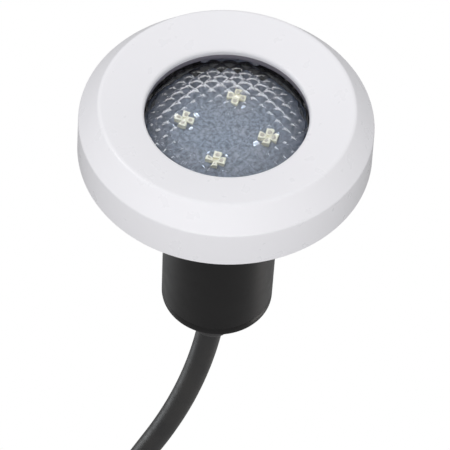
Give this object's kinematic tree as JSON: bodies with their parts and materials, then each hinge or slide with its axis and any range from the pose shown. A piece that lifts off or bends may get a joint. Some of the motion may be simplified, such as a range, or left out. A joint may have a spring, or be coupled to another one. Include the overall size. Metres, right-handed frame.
{
  "type": "underwater pool light",
  "caption": "Round underwater pool light: white dished face ring, clear patterned dome over LEDs, black threaded collar and barrel, strain relief and cable.",
  "frame": {"origin": "on the light's axis, in the plane of the pool wall that the face ring's rim rests on", "axes": "+Z along the light's axis, out of the wall through the lens; the barrel and cable hang towards -Z and the cable bends towards -X"},
  "size_m": [0.1, 0.0999, 0.2387],
  "materials": {
    "white_plastic": "moulded white ABS, satin gloss",
    "black_plastic": "moulded black thermoplastic, satin",
    "bezel_plastic": "moulded dark plastic, satin",
    "clear_lens": "clear moulded polycarbonate with a pillowed pattern",
    "black_rubber": "black nitrile rubber",
    "cable_black": "black cord jacket, satin",
    "steel": "stainless steel",
    "aluminium": "cast and turned aluminium",
    "board_face": "solder mask on a metal core board",
    "led_ceramic": "white LED package",
    "phosphor": "yellow phosphor under silicone",
    "pad_grey": "grey thermal pad",
    "circuit_green": "green circuit board",
    "frame_plastic": "natural nylon",
    "ferrite": "ferrite and copper winding",
    "can_sleeve": "capacitor sleeve",
    "chip_black": "moulded epoxy",
    "fuse_body": "ceramic fuse body",
    "resin": "dark potting resin",
    "brass": "crimped brass",
    "wire_red": "red wire insulation",
    "wire_black": "black wire insulation",
    "wire_white": "white wire insulation",
    "wire_green": "green wire insulation",
    "copper": "bare stranded copper"
  },
  "bodies": {
    "light_body": {"lens": "clear_lens", "lens_gasket": "black_rubber", "lens_retainer": "bezel_plastic", "retainer_screws": "steel", "housing": "black_plastic", "wall_gasket": "black_rubber", "led_board": "board_face", "led_packages": "led_ceramic", "led_phosphors": "phosphor", "thermal_pad": "pad_grey", "heat_spreader": "aluminium", "feed_wire_positive": "wire_red", "feed_wire_negative": "wire_black", "driver_board": "circuit_green", "driver_frame": "frame_plastic", "inductor": "ferrite", "capacitors": "can_sleeve", "bridge_rectifier": "chip_black", "controller_chip": "chip_black", "fuse": "fuse_body", "potting_plug": "resin", "end_cap": "black_plastic", "end_cap_seal": "black_rubber", "strain_relief": "black_rubber", "cord_anchor": "brass", "cable_root": "cable_black", "supply_lead_live": "wire_black", "supply_lead_neutral": "wire_white", "supply_lead_earth": "wire_green"},
    "grip_band": {"ring_grip_band": "black_rubber"},
    "trim_ring": {"face_ring": "white_plastic"},
    "free_cable": {"cable_jacket": "cable_black", "cable_core_live": "wire_black", "cable_core_neutral": "wire_white", "cable_core_earth": "wire_green", "core_conductors": "copper"}
  },
  "joints": [
    {"name": "ring_pull_off", "type": "slide", "parent": "light_body", "child": "grip_band", "axis": [0, 0, 1], "range_m": [0, 0.025]},
    {"name": "ring_turn", "type": "hinge", "parent": "grip_band", "child": "trim_ring", "pos_m": [0, 0, 0.003], "axis": [0, 0, 1], "continuous": true},
    {"name": "cable_swing", "type": "hinge", "parent": "light_body", "child": "free_cable", "pos_m": [-0.00137, 0, -0.1004], "axis": [0, 1, 0], "range_deg": [-15, 15]}
  ]
}
